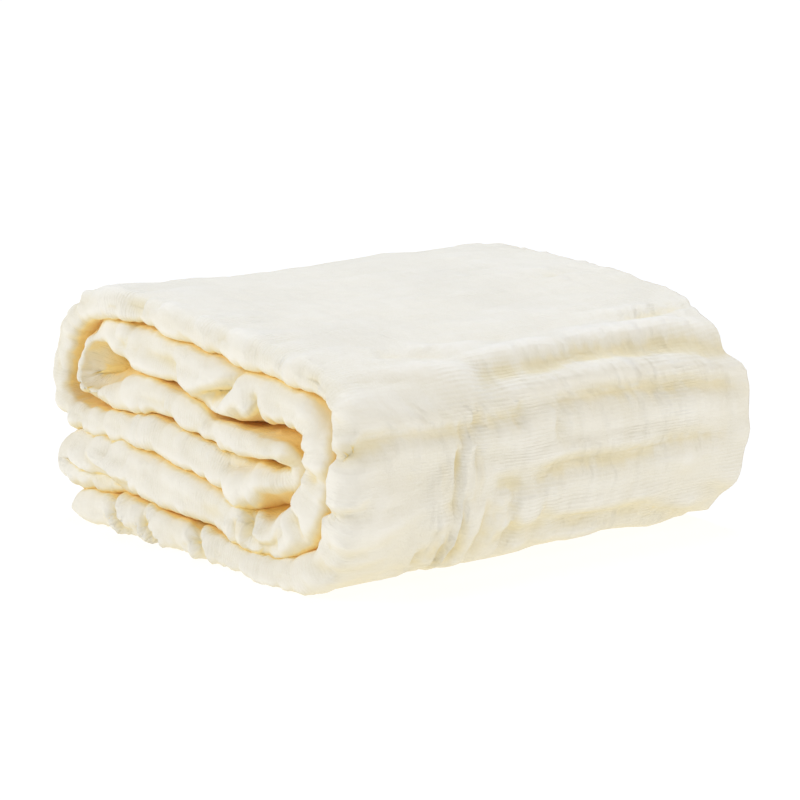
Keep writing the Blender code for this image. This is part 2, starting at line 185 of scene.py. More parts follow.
ROUTE = [Place(*row) for row in (
    # Under the bundle
    (-84, 3.6, 3, 3, 2, 7),
    (-80, 4.9, 4.6, 4.4, 1, 6),
    (-72, 5.7, 5.6, 5.4, 0, 6),
    (-58, 6.1, 6.1, 5.4, 0.5, 5),
    (-44, 6.6, 6.6, 5.8, 0, 5),
    (-34, 6.6, 6.6, 5.8, 1, 6),
    (-18, 5.7, 5.7, 5.3, 0, 7),
    (0, 5.4, 5.4, 5, 1, 7),
    (14, 4.6, 4.6, 4.1, 1, 6),
    (27, 4.2, 4.2, 3.6, 0.5, 5),
    (40, 4.7, 4.7, 3.6, 0, 4),
    (50, 6, 6, 4.2, 0, 4),
    # The outer wall
    (59, 8.8, 7.9, 4.4, 0, 4),
    (68, 14.5, 8.3, 4.6, 0, 3),
    (74.5, 22.5, 6.9, 4.8, 0, 1),
    (78.2, 32, 5.6, 4.8, 0, 0),
    (79.2, 42, 5.6, 4.8, 0, 0),
    (79.8, 51, 5.4, 4.6, 0, 1),
    (79, 58, 5.4, 4.6, 0.5, 3),
    (77.4, 63.6, 5.3, 4.6, 0.5, 10),
    (73.4, 68.4, 5.2, 4.6, 0.5, 10),
    # The top
    (65.5, 72.3, 5, 4.8, 0.5, 11),
    (54, 74.6, 5, 4.8, 1, 7),
    (42, 76.4, 5, 5, 1, 4),
    (28, 77.4, 5, 4.8, 0.5, 2),
    (12, 79.4, 5, 4.8, 1, 1),
    (-6, 81, 5, 4.8, 0.5, 1),
    (-24, 82.9, 4.9, 4.8, 1, 1),
    (-42, 84.6, 4.8, 4.6, 1, 1),
    (-58, 84.5, 4.9, 4.6, 0.5, 2),
    # The outer turn
    (-71.5, 81.6, 5.2, 4.6, 0.5, 3),
    (-81, 75.2, 5.4, 4.8, 0, 4),
    (-85.8, 67.4, 5.4, 4.8, 0, 4),
    (-88.2, 59, 5.8, 4.8, 0.5, 4),
    (-89, 51.5, 6, 4.8, 0, 5),
    (-85.6, 44.2, 5.4, 4, 0.5, 5),
    # The middle pass
    (-76.5, 40, 4.4, 3.6, 1, 6),
    (-66, 39.1, 3.8, 3.4, 1, 6),
    (-52, 40, 4.6, 4.4, 1.5, 6),
    (-38, 40.3, 5.2, 5, 1, 5),
    (-24, 38.9, 6.2, 6, 1.5, 5),
    (-8, 37.4, 6, 5.8, 1, 6),
    (6, 34.9, 6.8, 6.2, 1.5, 6),
    (20, 33.2, 7.2, 6.8, 3, 5),
    (33, 34.2, 4.2, 4.8, 8, 5),
    # The fold in the dark hollow
    (43.5, 35.6, 4.4, 3.7, 14, 6),
    (47.6, 40.4, 4.4, 3.6, 15, 6),
    (43.5, 45.3, 4.4, 3.5, 9, 6),
    # The lower pass
    (33, 45.9, 4.4, 3.8, 3, 5),
    (20, 45.7, 3.4, 2.9, 2, 5),
    (6, 46.5, 3.4, 2.9, 2, 6),
    (-8, 50.2, 4.6, 4.6, 1.5, 6),
    (-22, 52.2, 5.2, 5, 1.5, 5),
    (-38, 53, 6.4, 6.2, 1, 5),
    (-52, 50.9, 5.2, 4.8, 1.5, 5),
    (-64, 48.3, 4, 3.8, 3, 6),
    # The inner turn and its hollow
    (-72.6, 49.3, 3.6, 3.4, 5, 6),
    (-77, 54.4, 3.6, 3.4, 6, 6),
    (-76.2, 62, 3.6, 3.4, 7, 6),
    (-71.4, 69.4, 3.6, 3.4, 6, 5),
    # The second pass
    (-62.5, 73, 4.2, 4, 4, 5),
    (-53, 72.4, 6.6, 6.2, 1.5, 4),
    (-40, 69.6, 8.2, 8, 1, 4),
    (-26, 68.9, 7.6, 7.4, 1.5, 4),
    (-12, 67.2, 8.2, 7.6, 1, 5),
    (2, 64.4, 9.8, 9.4, 0.5, 5),
    (16, 62.6, 10.2, 9.8, 0.5, 5),
    (30, 62.4, 8.2, 8.2, 1.5, 6),
    (42, 62.2, 7.4, 7.4, 1, 6),
    # The inner wall
    (53, 60.6, 7, 7.4, 1, 6),
    (61.4, 55, 7.6, 9.2, 1, 6),
    (64, 46, 8.8, 8.6, 1, 5),
    (62.8, 36.6, 9.2, 9, 1.5, 5),
    (58.4, 27.4, 9, 8.8, 0.5, 6),
    (49.4, 19.8, 7.6, 7.4, 0.5, 6),
    # The low pass
    (38.6, 15.7, 5.8, 5.8, 1, 6),
    (27, 15.8, 6.2, 6, 1.5, 6),
    (14, 17.9, 7.2, 7, 1, 5),
    (2, 19.9, 7, 7.4, 1, 5),
    (-9, 21.7, 8, 8.2, 0.5, 5),
    (-21, 22, 8, 8.2, 1, 6),
    (-32, 23.4, 8, 8.2, 0.5, 6),
    (-43, 25.7, 7.8, 7.6, 0.5, 6),
    (-54, 27.2, 6.2, 6.4, 1, 5),
    (-65, 28.2, 5.2, 6, 0.5, 5),
    (-76, 28.8, 4.8, 5.4, 1, 5),
    # The tucked end
    (-85.6, 26.8, 4.6, 4.4, 1, 5),
    (-88.4, 21.8, 4.4, 3.8, 1, 5),
    (-83.4, 17.4, 4, 3.5, 1.5, 6),
    (-74, 16.7, 3.6, 4.2, 2, 6),
    (-65, 16.7, 3.2, 4.2, 3, 7),
    (-56, 16.5, 2.4, 2.6, 4, 7),
    (-49, 16.1, 1.6, 1.6, 6, 8),
)]

# Where the whole bundle stands higher or lower than its section says, as a share of the
# height: the place of the middle of each swell, and how far it spreads, in millimetres.
Swell = namedtuple("Swell", "x y spread_x spread_y share")

SWELLS = [
    Swell(25.0, 78.0, 45.0, 45.0, 0.030),
    Swell(-60.0, -25.0, 60.0, 45.0, -0.020),
]

NOISE_SCALE = 1.6  # brings noise and ridges to about -1 to 1
RIDGE_LEVEL = 0.28  # about the middle height of the ridges

# Seeded noise over the cloth: the sizes of its swells, and where in the noise it starts
Field = namedtuple("Field", "along across shift_s shift_v seed")

DRIFT = 2.0  # how far the finer crinkles drift along the strip
DRIFTING = Field(30.0, 30.0, 0.0, 60.0, 5)
UNEVEN = Field(30.0, 11.0, 20.0, 30.0, 9)  # how the creases' depth varies

# The crinkles all over the cloth. drift is the share of the drift that they take, and
# sharpness is above 0 where narrow valleys part rounded puffs. The last four are their
# height everywhere, and what is added where the face is on the bundle's outside, where it
# is quilted and at the folded edges.
Crinkle = namedtuple("Crinkle", "name field drift sharpness plain seen quilted edge")

CRINKLES = [
    Crinkle("lumps", Field(21.0, 30.0, 0.0, 40.0, 3), 0.0, 0.0, 0.20, 0.35, 0.35, 1.60),
    Crinkle("small lumps", Field(10.0, 16.0, 0.0, 40.0, 4), 0.0, 0.0, 0.10, 0.175, 0.175, 0.80),
    Crinkle("folds", Field(8.5, 34.0, 0.0, 50.0, 6), 1.0, 0.010, 0.15, 0.45, 0.95, 0.70),
    Crinkle("crinkles", Field(4.6, 11.0, 0.0, 90.0, 7), 1.0, 0.015, 0.15, 0.25, 0.0, 0.0),
    Crinkle("puckers", Field(6.0, 9.0, 0.0, 20.0, 8), 0.0, 0.006, 0.0, 0.0, 0.0, 1.5),
]

# How far the ends of the inner plies keep back at the open end, and how that varies
FarEnd = namedtuple("FarEnd", "setback wave")

FAR_WAVE = 1.2  # how much it varies along the strip
FAR_ENDS = {
    "left fold": FarEnd(2.2, Field(40.0, 1.0, 0.0, 3.5, 11)),
    "right fold": FarEnd(3.2, Field(40.0, 1.0, 0.0, 5.5, 12)),
    "inner hem": FarEnd(1.4, Field(40.0, 1.0, 0.0, 7.5, 13)),
}

# The creases pressed into the cloth, in millimetres. Each runs through its points, as
# (distance along the strip, distance over the cloth from the folded edge's crest), with
# the second above 0 on the strip's right face and below 0 on its left one.
Crease = namedtuple("Crease", "name depth width points")

CREASES = [Crease(*row) for row in (
    ("shoulder", 4.5, 3.6, [
        (210, 62), (212, 76), (212, 92), (213, 112), (212, 134), (212, 152), (206, 184),
    ]),
    ("shoulder lip", 2.0, 3.0, [(226, 140), (227, 164), (228, 178)]),
    ("top, near the wall", 0.9, 5.0, [(281, 150), (286, 176)]),
    ("shoulder, near end", 0.7, 4.0, [(227, 27), (224, 42), (220, 57)]),
    ("upper wall", 3.0, 3.0, [
        (201, 88), (201, 114), (201, 132), (200, 150), (197, 176), (194, 188),
    ]),
    ("upper wall, near end", 2.2, 2.8, [
        (194, 0), (197, 10), (199, 20), (197, 49), (199, 68), (200, 85),
    ]),
    ("upper wall, notch", 2.0, 2.2, [(192, -7), (194, 0), (196, 7), (198, 13)]),
    ("lower wall, notch", 2.2, 2.2, [(173, -7), (175, 0), (177, 7), (179, 14)]),
    ("lower wall", 2.6, 3.0, [
        (178, 68), (178, 86), (180, 104), (179, 127), (181, 152), (181, 178),
    ]),
    ("belly", 2.6, 3.2, [(157, 54), (159, 76), (160, 98), (158, 141), (144, 186)]),
    ("belly, near end", 1.3, 2.6, [(155, 42), (161, 46)]),
    ("belly, slanting", 1.1, 2.6, [(162, 66), (172, 74)]),
    ("upright on the wall", 2.9, 1.4, [
        (199, 51), (188, 49), (177, 48), (166, 49), (152, 51), (140, 52),
    ]),
    ("beside the upright", 0.9, 2.0, [(195, 57), (184, 57), (174, 59)]),
    ("above the upright", 1.8, 1.7, [(204, 58), (199, 57), (194, 54)]),
    ("low on the wall", 2.4, 1.7, [(172, 53), (164, 55), (157, 57), (149, 56)]),
    ("low on the wall, left", 2.0, 1.6, [(164, 43), (158, 43), (151, 41)]),
    ("across the wall", 1.0, 1.5, [(193, 57), (187, 58), (180, 57)]),
    ("fan on the wall, first", 2.1, 2.0, [(150, 66), (159, 66), (166, 65), (173, 65)]),
    ("fan on the wall, second", 2.1, 2.2, [(150, 80), (160, 80), (168, 76), (175, 76)]),
    ("fan on the wall, third", 1.4, 2.4, [(150, 94), (162, 93), (171, 89)]),
    ("fan on the wall, arch", 1.3, 2.0, [(176, 67), (177, 74), (174, 82)]),
    ("upper wall, pucker", 1.1, 1.8, [(193, 72), (198, 75), (203, 77)]),
    ("upper wall, far pucker", 1.2, 2.2, [(189, 94), (196, 93), (201, 97)]),
    ("second, dent", 2.1, 2.0, [(716, 4), (718, -1), (720, -7)]),
    ("second, hollow band", 1.4, 4.0, [(726, -1), (738, 0), (750, 2)]),
    ("second, deep fold", 5.6, 2.6, [(787, -10), (785, -5), (777, 2), (764, 8)]),
    ("second, arc", 3.0, 2.2, [(795, -2), (797, 3), (795, 8), (790, 12)]),
    ("inner wall, across", 2.4, 2.0, [(842, 6), (843, 0), (842, -7)]),
    ("inner wall, dent", 3.0, 2.4, [(862, 6), (861, 0), (863, -7)]),
    ("low, notch", 4.2, 2.0, [(895, 8), (891, 3), (890, -2)]),
    ("over the tuck", 3.2, 2.0, [(989, -2), (984, -5), (975, -6), (964, -6)]),
    ("low, lobe", 2.4, 2.0, [(898, 3), (898, -3), (896, -9)]),
    ("low, arc", 2.1, 2.0, [(889, -1), (885, -4), (877, -3), (870, 2)]),
    ("middle, band", 2.1, 2.6, [(503, -5), (511, -4), (520, -5)]),
    ("under, first", 4.6, 1.9, [(29, -8), (31, -3), (36, 1), (40, 5)]),
    ("under, second", 4.2, 1.9, [(48, -7), (51, -1), (55, 4), (58, 8)]),
    ("under, third", 5.0, 2.0, [(78, -9), (81, -4), (85, 1), (85, 7)]),
)]

# Where the cloth stands out more than its creases give, in the same two distances.
Puff = namedtuple("Puff", "name s v spread_s spread_v height")

PUFFS = [Puff(*row) for row in (
    ("over the tuck", 984, -7, 19, 8, 1.7),
    ("tuck", 1028, -7, 19, 8, 1.6),
    ("middle, end", 515, 7, 8.5, 9, 5.5),
    ("hollow, inside", 678, 24, 24, 14, 6),
    ("beside the tucked end", 964, -8, 13, 8, 2.6),
    ("under the tucked end", 42, -8, 12, 8, 2.2),
    ("fold, outside", 530, 18, 15, 9, 3.2),
    ("wall, upper lobe", 185, 1, 8, 8, 1.4),
    ("wall, lower lobe", 164, 1, 9, 9, 1.6),
)]

# Where the folded edges are drawn back into the bundle, or stand forward where it is
# below 0: the middle along the strip, how far it spreads, and the most on either side.
DrawnBack = namedtuple("DrawnBack", "name s spread right left")

DRAWN_BACK = [
    DrawnBack("inner turn", 678.0, 21.0, -7.0, 14.0),
    DrawnBack("fold", 541.0, 20.0, -8.0, -8.0),
    DrawnBack("tuck", 1003.0, 26.0, 0.0, -4.0),
]


# --- The strip's route ---

def natural_spline(knots, values, at):
    """Values of the natural cubic spline through the knots, at the given parameters."""
    count = len(knots)
    gap = np.diff(knots)
    matrix = np.zeros((count, count))
    target = np.zeros(values.shape)
    matrix[0, 0] = matrix[-1, -1] = 1.0
    inner = np.arange(1, count - 1)
    matrix[inner, inner - 1] = gap[:-1]
    matrix[inner, inner] = 2.0 * (gap[:-1] + gap[1:])
    matrix[inner, inner + 1] = gap[1:]
    slopes = np.diff(values, axis=0) / gap[:, None]
    target[1:-1] = 6.0 * np.diff(slopes, axis=0)
    bend = np.linalg.solve(matrix, target)
    k = np.clip(np.searchsorted(knots, at, side="right") - 1, 0, count - 2)
    h = gap[k][:, None]
    ahead = (at - knots[k])[:, None]
    back = (knots[k + 1] - at)[:, None]
    cubic = (bend[k] * back ** 3 + bend[k + 1] * ahead ** 3) / (6.0 * h)
    line = (values[k] / h - bend[k] * h / 6.0) * back
    line += (values[k + 1] / h - bend[k + 1] * h / 6.0) * ahead
    return cubic + line


class Route:
    """The strip's smooth route: place, direction, thickness and edges at any distance."""

    def __init__(self, places):
        points = np.array([(p.x, p.z) for p in places])
        chords = np.linalg.norm(np.diff(points, axis=0), axis=1)
        knots = np.concatenate([[0.0], np.cumsum(np.sqrt(chords))])
        fine = np.linspace(0.0, knots[-1], CURVE_POINTS * len(places))
        self.curve = natural_spline(knots, points, fine)
        steps = np.linalg.norm(np.diff(self.curve, axis=0), axis=1)
        self.distance = np.concatenate([[0.0], np.cumsum(steps)])
        self.length = self.distance[-1]
        self.heading = np.unwrap(np.arctan2(*np.gradient(self.curve, axis=0).T[::-1]))
        self.bend = np.abs(np.gradient(self.heading, self.distance))
        self.reach = {}
        for name in ("right", "left", "front", "far"):
            column = np.array([getattr(p, name) for p in places])
            self.reach[name] = self.soften(np.interp(fine, knots, column))

    @staticmethod
    def soften(column):
        """A running mean, so that a column has no kinks at the places."""
        weights = np.hanning(SOFTENING + 2)[1:-1]
        padded = np.pad(column, SOFTENING // 2, mode="edge")
        return np.convolve(padded, weights / weights.sum(), mode="valid")

    def rows(self):
        """Distances of the rows of points, closer together in the turns and at the hems."""
        density = 1.0 + TURN_CROWDING * self.bend
        total = np.concatenate([[0.0], np.cumsum(np.diff(self.distance) * density[1:])])
        start, end = np.interp([HEM_RUN, self.length - HEM_RUN], self.distance, total)
        inner = np.linspace(start, end, ROWS - 2 * len(HEM_STEPS))
        inner = np.interp(inner, total, self.distance)
        hem = np.array(HEM_STEPS)
        return np.concatenate([hem, inner, self.length - hem[::-1]])


Strip = namedtuple("Strip", "s x z heading right left flat_right flat_left far depth pitch")


def strip_sizes(route, s):
    """The strip's sizes at each row, for the middle surface of its outermost ply."""
    reach = {name: np.interp(s, route.distance, column) for name, column in route.reach.items()}
    inset = np.clip(np.minimum(s, route.length - s) / END_RUN, 0.0, 1.0)
    taper = END_THICKNESS + (1.0 - END_THICKNESS) * np.sqrt(1.0 - (1.0 - inset) ** 2)
    right = reach["right"] * taper - CLOTH / 2.0
    left = reach["left"] * taper - CLOTH / 2.0
    far = STRIP_FAR - reach["far"] - CLOTH / 2.0
    far -= WALL_FAR_BACK * between(s, WALL_STARTS, WALL_ENDS)
    depth = np.clip(EDGE_DEPTH * (right + left), *EDGE_DEPTH_LIMITS)
    flat_right = STRIP_FRONT + reach["front"] + CLOTH / 2.0 + depth
    flat_left = flat_right.copy()
    for place in DRAWN_BACK:
        share = np.exp(-((s - place.s) / place.spread) ** 4)
        flat_right += place.right * share
        flat_left += place.left * share
    x, z = (np.interp(s, route.distance, route.curve[:, i]) for i in (0, 1))
    heading = np.interp(s, route.distance, route.heading)
    pitch = (right + left) / (PLIES - 1)
    return Strip(s, x, z, heading, right, left, flat_right, flat_left, far, depth, pitch)


def end_distance(strip):
    """Distance of each row from the nearer end of the strip."""
    return np.minimum(strip.s, strip.s[-1] - strip.s)


def clearances(strip):
    """Distance from each row's right and left face to the nearest face of another pass."""
    sides = []
    for reach in (strip.right + CLOTH / 2.0, -strip.left - CLOTH / 2.0):
        x = strip.x + np.sin(strip.heading) * reach
        z = strip.z - np.cos(strip.heading) * reach
        sides.append(np.stack([x, z], axis=-1))
    both = np.concatenate(sides)
    rows = np.concatenate([strip.s, strip.s])
    found = []
    for side in sides:
        away = np.linalg.norm(side[:, None] - both[None], axis=-1)
        away[np.abs(strip.s[:, None] - rows[None]) < SAME_PASS] = np.inf
        found.append(away.min(axis=1))
    return found


# --- Puffs, creases and crinkles ---

def smooth_step(value, start, end):
    """0 before start and 1 after end, with a smooth rise between them."""
    share = np.clip((value - start) / (end - start), 0.0, 1.0)
    return share * share * (3.0 - 2.0 * share)


def between(value, starts, ends):
    """1 within a stretch and 0 outside it, which sets in over starts and stops over ends."""
    return smooth_step(value, *starts) * smooth_step(value, *ends[::-1])


def gentle_noise(x, y, seed):
    """Seeded noise from about -1 to 1, with swells about a unit apart."""
    size = 256  # of the grid of random slopes, after which it repeats
    turns = np.random.default_rng(seed).uniform(0.0, 2.0 * np.pi, (size, size))
    left, low = np.floor(x).astype(int), np.floor(y).astype(int)
    total = np.zeros(np.broadcast(x, y).shape)
    for i in (0, 1):
        for j in (0, 1):
            away_x, away_y = x - left - i, y - low - j
            turn = turns[(left + i) % size, (low + j) % size]
            slope = np.cos(turn) * away_x + np.sin(turn) * away_y
            fade = smooth_step(np.abs(away_x), 1.0, 0.0)
            total += slope * fade * smooth_step(np.abs(away_y), 1.0, 0.0)
    return NOISE_SCALE * total


def cloth_noise(s, v, field):
    """The noise of a Field at each place of the cloth."""
    x, y = s / field.along + field.shift_s, v / field.across + field.shift_v
    return gentle_noise(x, y, field.seed)


def ridges(noise, sharpness):
    """Rounded puffs with narrow valleys between them, from noise about -1 to 1."""
    return NOISE_SCALE * (np.sqrt(noise ** 2 + sharpness) - RIDGE_LEVEL)


def distance_to_line(s, v, points):
    """Distance of each place to a line through points, and its share of the way along."""
    nearest = np.full(s.shape, np.inf)
    along = np.zeros(s.shape)
    points = np.array(points, float)
    lengths = np.linalg.norm(np.diff(points, axis=0), axis=1)
    starts = np.concatenate([[0.0], np.cumsum(lengths)])
    for (s0, v0), (s1, v1), length, start in zip(points, points[1:], lengths, starts):
        share = ((s - s0) * (s1 - s0) + (v - v0) * (v1 - v0)) / length ** 2
        share = np.clip(share, 0.0, 1.0)
        away = np.hypot(s - s0 - share * (s1 - s0), v - v0 - share * (v1 - v0))
        closer = away < nearest
        nearest = np.where(closer, away, nearest)
        along = np.where(closer, start + share * length, along)
    return nearest, along / starts[-1]


def crease_relief(s, v, crease):
    """A soft trough along the crease, with the cloth puffed up a little on both sides."""
    away, along = distance_to_line(s, v, crease.points)
    fade = CREASE_END + (1.0 - CREASE_END) * np.sin(np.pi * along) ** 0.6
    fade *= 1.0 + CREASE_UNEVEN * cloth_noise(s, v, UNEVEN)
    trough = np.exp(-(away / crease.width) ** 2)
    puff = np.exp(-((away - PUFF_AWAY * crease.width) / crease.width) ** 2)
    return crease.depth * fade * (PUFF_SHARE * puff - trough)


def crease_marks(s, v):
    """Distance of each place to the nearest crease, how strong that one is there, and how
    much the cloth is gathered by the creases around it."""
    nearest = np.full(s.shape, NO_CREASE)
    strength = np.zeros(s.shape)
    gathered = EDGE_GATHERED * np.exp(-(v / EDGE_GATHERED_REACH) ** 2)
    for crease in CREASES:
        away, along = distance_to_line(s, v, crease.points)
        closer = away < nearest
        nearest = np.where(closer, away, nearest)
        here = min(crease.depth / MARKED_DEPTH, 1.0) * np.sin(np.pi * along) ** 0.5
        sharpness = min(SHARP_WIDTH / crease.width, 1.0) ** 1.5
        strength = np.where(closer, here * sharpness, strength)
        gathered = np.maximum(gathered, here * smooth_step(away, *GATHERED[::-1]))
    return nearest, strength, gathered * (1.0 - EDGE_PLAIN * np.exp(-(v / EDGE_PLAIN_REACH) ** 4))


def ease(value, inward, outward):
    """value, eased so that it stays between -inward and outward."""
    raised = outward * np.tanh(np.maximum(value, 0.0) / outward)
    sunk = inward * np.tanh(np.maximum(-value, 0.0) / inward)
    return raised - sunk


def open_share(s):
    """1 where the strip's right face is on the bundle's outside, 0 where it is inside."""
    share = np.zeros(s.shape)
    for start, end in OPEN_STRETCHES:
        share = np.maximum(share, between(s, (start - OPEN_RUN, start), (end, end + OPEN_RUN)))
    return share


def tucked_turn(s, v):
    """1 round the tucked turn, where the cloth is smooth, and 0 away from it."""
    return np.exp(-((s - TUCK_MIDDLE) / TUCK_SPREAD) ** 4 - (v / TUCK_REACH) ** 4)


def relief(s, v):
    """How far the cloth stands out of the strip's plain form, over its whole outside.

    s is the distance along the strip. v is the distance over the cloth from the crest of
    the folded edge, above 0 on the right face and below 0 on the left one.
    """
    seen = open_share(s) * (v > 0.0)
    near_edge = np.exp(-(v / NEAR_EDGE) ** 2)
    quilted = between(s, QUILTED_STARTS, QUILTED_ENDS)
    quilted = seen * np.maximum(quilted, HALF_QUILTED * smooth_step(s, *HALF_QUILTED_STARTS))
    drift = DRIFT * cloth_noise(s, v, DRIFTING)
    height = np.zeros(s.shape)
    for crinkle in CRINKLES:
        noise = cloth_noise(s + crinkle.drift * drift, v, crinkle.field)
        if crinkle.sharpness > 0.0:
            noise = ridges(noise, crinkle.sharpness)
        share = crinkle.plain + crinkle.seen * seen + crinkle.quilted * quilted
        height += noise * (share + crinkle.edge * near_edge)
    height *= 1.0 - TUCK_SMOOTH * tucked_turn(s, v)
    for crease in CREASES:
        height += crease_relief(s, v, crease)
    return height


# --- The six plies ---

def flat_shares(count, crowding=INNER_CROWDING):
    """Places across the strip, from 1 at its open end to 0 at its folded edge."""
    return np.linspace(1.0, 0.0, count) ** crowding


def right_shares():
    """Places of the right face's columns, from 0 at its folded edge to 1 at its hem."""
    distance, spacing = np.array(RIGHT_SPACING).T
    fine = np.linspace(0.0, distance[-1], FINE_STEPS)
    total = np.cumsum(1.0 / np.interp(fine, distance, spacing))
    total -= total[0]
    return np.interp(np.linspace(0.0, total[-1], RIGHT_COLUMNS), total, fine) / distance[-1]


def way_across(offset, y):
    """Distance over the cloth of each point from the first one in its row."""
    steps = np.hypot(np.diff(offset, axis=1), np.diff(y, axis=1))
    return np.concatenate([np.zeros((len(y), 1)), np.cumsum(steps, axis=1)], axis=1)


def closed_half(gap, v, rule):
    """How far one pass puffs out to close its half of a gap, by the rule of a Closing."""
    half = np.clip(gap - GAP_LEFT, 0.0, None) / 2.0 * smooth_step(gap, rule.open, rule.closed)
    return half * between(np.abs(v), (rule.start, rule.full), (rule.ending, rule.end))


def raised_height(strip, v):
    """How far the outermost ply stands out, in the room that it has on either side."""
    s = strip.s[:, None] + 0.0 * v
    on_right = v > 0.0
    at_edge = np.exp(-(v / EDGE_REACH) ** 2)
    gap = np.where(on_right, *(side[:, None] for side in clearances(strip)))
    filling = closed_half(gap, v, HOLLOWS)
    filling *= 1.0 - np.minimum(open_share(s) * HOLLOWS_STOP, 1.0) * on_right
    closing = np.maximum(closed_half(gap, v, EDGE_GAPS), filling)
    beyond = np.clip((gap - TOUCHING) / 2.0 - closing, LEAST_RELIEF, INNER_PUFF)
    outward = beyond + (OPEN_PUFF - beyond) * np.maximum(open_share(s) * on_right, at_edge)
    spare = strip.right + strip.left - (PLY_ROOM - 1.0) * CLOTH
    spare = np.maximum(spare, LEAST_RELIEF)[:, None]
    inward = spare * np.where(on_right, RIGHT_SPARE, LEFT_SPARE) + EDGE_DENT * at_edge
    for puff in PUFFS:
        away = ((s - puff.s) / puff.spread_s) ** 2 + ((v - puff.v) / puff.spread_v) ** 2
        closing += puff.height * np.exp(-away ** 2)
    height = closing + ease(relief(s, v), inward, outward)
    fade = smooth_step(end_distance(strip), 0.0, END_FADE)[:, None]
    return height * (END_RELIEF + (1.0 - END_RELIEF) * fade)


def outer_ply(strip, fold_setback):
    """The outermost ply, as arrays of (row, column): offset to the right, y, v, height.

    Its columns run from the hem on the right face, round the folded edge, to the fold at
    the open end of the left face.
    """
    hem_end = strip.far - HEM_RUN
    fold = strip.far - fold_setback - strip.pitch / 2.0
    columns = [(strip.right, strip.far - step) for step in HEM_STEPS]
    span = hem_end - strip.flat_right
    columns += [(strip.right, strip.flat_right + span * share) for share in right_shares()[::-1]]
    for turn in np.linspace(0.0, np.pi, EDGE_COLUMNS + 2)[1:-1]:
        side = np.sign(np.cos(turn)) * abs(np.cos(turn)) ** EDGE_FULLNESS
        reach = strip.right if side > 0.0 else strip.left
        lean = ((1.0 - side) / 2.0) ** EDGE_LEAN
        flat = strip.flat_right + (strip.flat_left - strip.flat_right) * lean
        columns.append((side * reach, flat - strip.depth * np.sin(turn) ** EDGE_FULLNESS))
    span = fold - strip.flat_left
    shares = flat_shares(LEFT_COLUMNS, LEFT_CROWDING)[::-1]
    columns += [(-strip.left, strip.flat_left + span * share) for share in shares]
    offset, y = (np.stack(part, axis=1) for part in zip(*columns))

    travelled = way_across(offset, y)
    crest = len(HEM_STEPS) + RIGHT_COLUMNS + EDGE_COLUMNS // 2
    v = travelled[:, [crest]] - travelled
    height = raised_height(strip, v)
    run_y, run_offset = np.gradient(y, axis=1), np.gradient(offset, axis=1)
    length = np.hypot(run_y, run_offset)
    return offset - height * run_y / length, y + height * run_offset / length, v, height


def cloth_columns(strip):
    """All the columns of points over the cloth's width, from one hem to the other.

    Returns arrays of (row, column): offset to the right, y, and on the outermost ply v
    and its height. Levels run from -1 on the strip's left face to 1 on its right one.
    """
    setback = {
        name: end.setback + FAR_WAVE * cloth_noise(strip.s, 0.0, end.wave)
        for name, end in FAR_ENDS.items()
    }
    offset, y, v, height = outer_ply(strip, setback["left fold"])
    first = len(HEM_STEPS) + RIGHT_COLUMNS - 1
    last = first + EDGE_COLUMNS + 1
    edge_offset, edge_y = offset[:, first:last + 1], y[:, first:last + 1]
    middle = (edge_offset[:, 0] + edge_offset[:, -1]) / 2.0
    base = (edge_y[:, 0] + edge_y[:, -1]) / 2.0
    base += NESTED_BACK * smooth_step(end_distance(strip), *NESTED_FADE)
    right_face = offset[:, :first].min(axis=1)
    left_face = offset[:, last:].max(axis=1)
    columns = []

    def add(level, at_y):
        """One column of a flat ply at its level, between the two faces of the strip."""
        columns.append((left_face + (right_face - left_face) * (1.0 + level) / 2.0, at_y))

    def add_ply(level, end, shares):
        """A flat ply between the folded edges and its end."""
        start = base + abs(level) * (edge_y[:, 0 if level > 0.0 else -1] - base)
        for share in shares:
            add(level, start + (end - start) * share)

    def add_folded_edge(level, shares):
        """An inner folded edge, which is a smaller form of the outermost one."""
        for share in shares:
            place = share * (EDGE_COLUMNS + 1)
            low = int(place)
            part = place - low
            at_offset = edge_offset[:, low] * (1.0 - part) + edge_offset[:, low + 1] * part
            at_y = edge_y[:, low] * (1.0 - part) + edge_y[:, low + 1] * part
            columns.append((middle + level * (at_offset - middle), base + level * (at_y - base)))

    def add_fold(level, after, end):
        """The middle of a fold at the open end, which leads from one level to another."""
        for turn in (0.25 * np.pi, 0.5 * np.pi, 0.75 * np.pi):
            at_level = level + (after - level) * (1.0 - np.cos(turn)) / 2.0
            add(at_level, end + strip.pitch / 2.0 * np.sin(turn))

    left_end = strip.far - setback["left fold"] - strip.pitch / 2.0
    right_end = strip.far - setback["right fold"] - strip.pitch / 2.0
    hem_end = strip.far - setback["inner hem"]
    add_fold(-1.0, -NEXT_LEVEL, left_end)
    add_ply(-NEXT_LEVEL, left_end, flat_shares(4))
    add_folded_edge(NEXT_LEVEL, (0.8, 0.6, 0.4, 0.2))
    add_ply(NEXT_LEVEL, right_end, flat_shares(5)[::-1])
    add_fold(NEXT_LEVEL, MIDDLE_LEVEL, right_end)
    add_ply(MIDDLE_LEVEL, right_end, flat_shares(4))
    add_folded_edge(MIDDLE_LEVEL, (0.2, 0.5, 0.8))
    add_ply(-MIDDLE_LEVEL, hem_end - HEM_RUN, flat_shares(3)[::-1])
    for step in HEM_STEPS[::-1]:
        add(-MIDDLE_LEVEL, hem_end - step)

    inner_offset, inner_y = (np.stack(part, axis=1) for part in zip(*columns))
    return np.hstack([offset, inner_offset]), np.hstack([y, inner_y]), v, height


# --- The cloth's mesh ---

